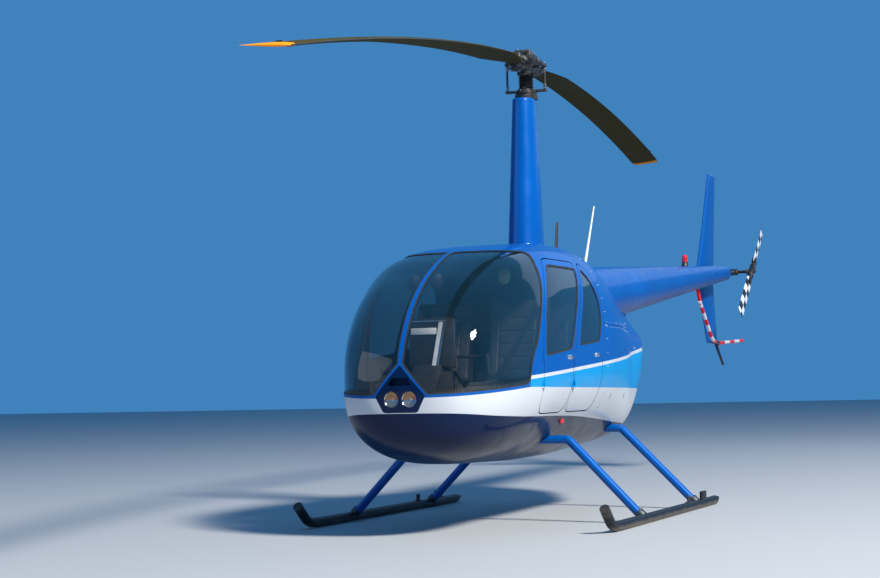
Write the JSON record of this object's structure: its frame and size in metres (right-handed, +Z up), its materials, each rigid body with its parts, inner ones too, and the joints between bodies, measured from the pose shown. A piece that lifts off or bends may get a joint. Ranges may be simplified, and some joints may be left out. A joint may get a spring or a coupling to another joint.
{
  "type": "light helicopter",
  "caption": "Light piston helicopter on skids with a teetering main rotor, glazed cabin with hinged doors, and a tail boom with fins, guard and tail rotor.",
  "frame": {"origin": "on the ground under the middle of the part's box; the rotor mast stands 0.75 m ahead of it", "axes": "+X to the nose, +Y to the left side, +Z up"},
  "size_m": [11.5208, 2.168, 3.357],
  "materials": {
    "blue_paint": "glossy metallic royal blue",
    "navy_paint": "glossy dark navy",
    "tinted_glass": "clear smoky glazing",
    "lamp": "polished lamp bowls behind clear covers",
    "cabin_lining": "dark grey textured lining",
    "carpet": "dark short-pile carpet",
    "black_panel": "black crackle finish",
    "engine_metal": "plain cast grey",
    "bare_metal": "machined and lightly worn",
    "skid_metal": "dark paint worn to grey metal below",
    "seat_leather": "dark grey soft leather with stitched seams",
    "red_paint": "glossy red with white bands",
    "red_lens": "clear red lens on a dark base",
    "blade_paint": "satin dark olive with yellow tips",
    "tail_blade_paint": "satin white with black bands"
  },
  "bodies": {
    "airframe": {"cabin_frame": "blue_paint", "lower_fuselage": "navy_paint", "lamp_housing": "navy_paint", "nose_lamps": "lamp", "firewall": "cabin_lining", "cabin_floor": "carpet", "console": "black_panel", "cyclic": "black_panel", "upper_cowl": "blue_paint", "tail_cowl": "blue_paint", "engine": "engine_metal", "mast_fairing": "blue_paint", "swashplate_fixed": "bare_metal", "windshield_left": "tinted_glass", "windshield_right": "tinted_glass", "engine_cowl_left": "blue_paint", "engine_cowl_right": "blue_paint", "seat_front_left": "seat_leather", "seat_front_right": "seat_leather", "seat_rear_left": "seat_leather", "seat_rear_right": "seat_leather", "seat_base_front": "cabin_lining", "seat_base_rear": "cabin_lining", "leg_front_left": "blue_paint", "leg_front_right": "blue_paint", "leg_rear_left": "blue_paint", "leg_rear_right": "blue_paint", "cross_tube_front": "blue_paint", "cross_tube_rear": "blue_paint", "skid_left": "skid_metal", "skid_right": "skid_metal", "exhaust": "bare_metal", "tail_boom": "blue_paint", "tail_gearbox": "blue_paint", "fin_upper": "blue_paint", "fin_lower": "blue_paint", "stabiliser": "blue_paint", "tail_guard": "red_paint", "beacon": "red_lens"},
    "front_left_door": {"door_front_left": "blue_paint", "door_glass_front_left": "tinted_glass"},
    "front_right_door": {"door_front_right": "blue_paint", "door_glass_front_right": "tinted_glass"},
    "rear_left_door": {"door_rear_left": "blue_paint", "door_glass_rear_left": "tinted_glass"},
    "rear_right_door": {"door_rear_right": "blue_paint", "door_glass_rear_right": "tinted_glass"},
    "main_rotor": {"rotor_hub": "bare_metal", "swashplate_turning": "bare_metal", "blade_low": "blade_paint", "blade_high": "blade_paint"},
    "tail_rotor": {"tail_rotor_hub": "bare_metal", "tail_blade_upper": "tail_blade_paint", "tail_blade_lower": "tail_blade_paint"}
  },
  "joints": [
    {"name": "main_rotor_turn", "type": "hinge", "parent": "airframe", "child": "main_rotor", "pos_m": [0.75, 0, 3], "axis": [0, 0, 1], "continuous": true},
    {"name": "tail_rotor_turn", "type": "hinge", "parent": "airframe", "child": "tail_rotor", "pos_m": [-5.143, 0.262, 2.035], "axis": [0, 1, 0], "continuous": true},
    {"name": "front_left_door_swing", "type": "hinge", "parent": "airframe", "child": "front_left_door", "pos_m": [2.255, 0.628, 1], "axis": [0, 0, -1], "range_deg": [0, 65]},
    {"name": "front_right_door_swing", "type": "hinge", "parent": "airframe", "child": "front_right_door", "pos_m": [2.255, -0.628, 1], "axis": [0, 0, 1], "range_deg": [0, 65]},
    {"name": "rear_left_door_swing", "type": "hinge", "parent": "airframe", "child": "rear_left_door", "pos_m": [1.7, 0.643, 1], "axis": [0, 0, -1], "range_deg": [0, 65]},
    {"name": "rear_right_door_swing", "type": "hinge", "parent": "airframe", "child": "rear_right_door", "pos_m": [1.7, -0.643, 1], "axis": [0, 0, 1], "range_deg": [0, 65]}
  ],
  "couplings": [
    {"joint": "tail_rotor_turn", "follows": "main_rotor_turn", "ratio": -5.95}
  ]
}
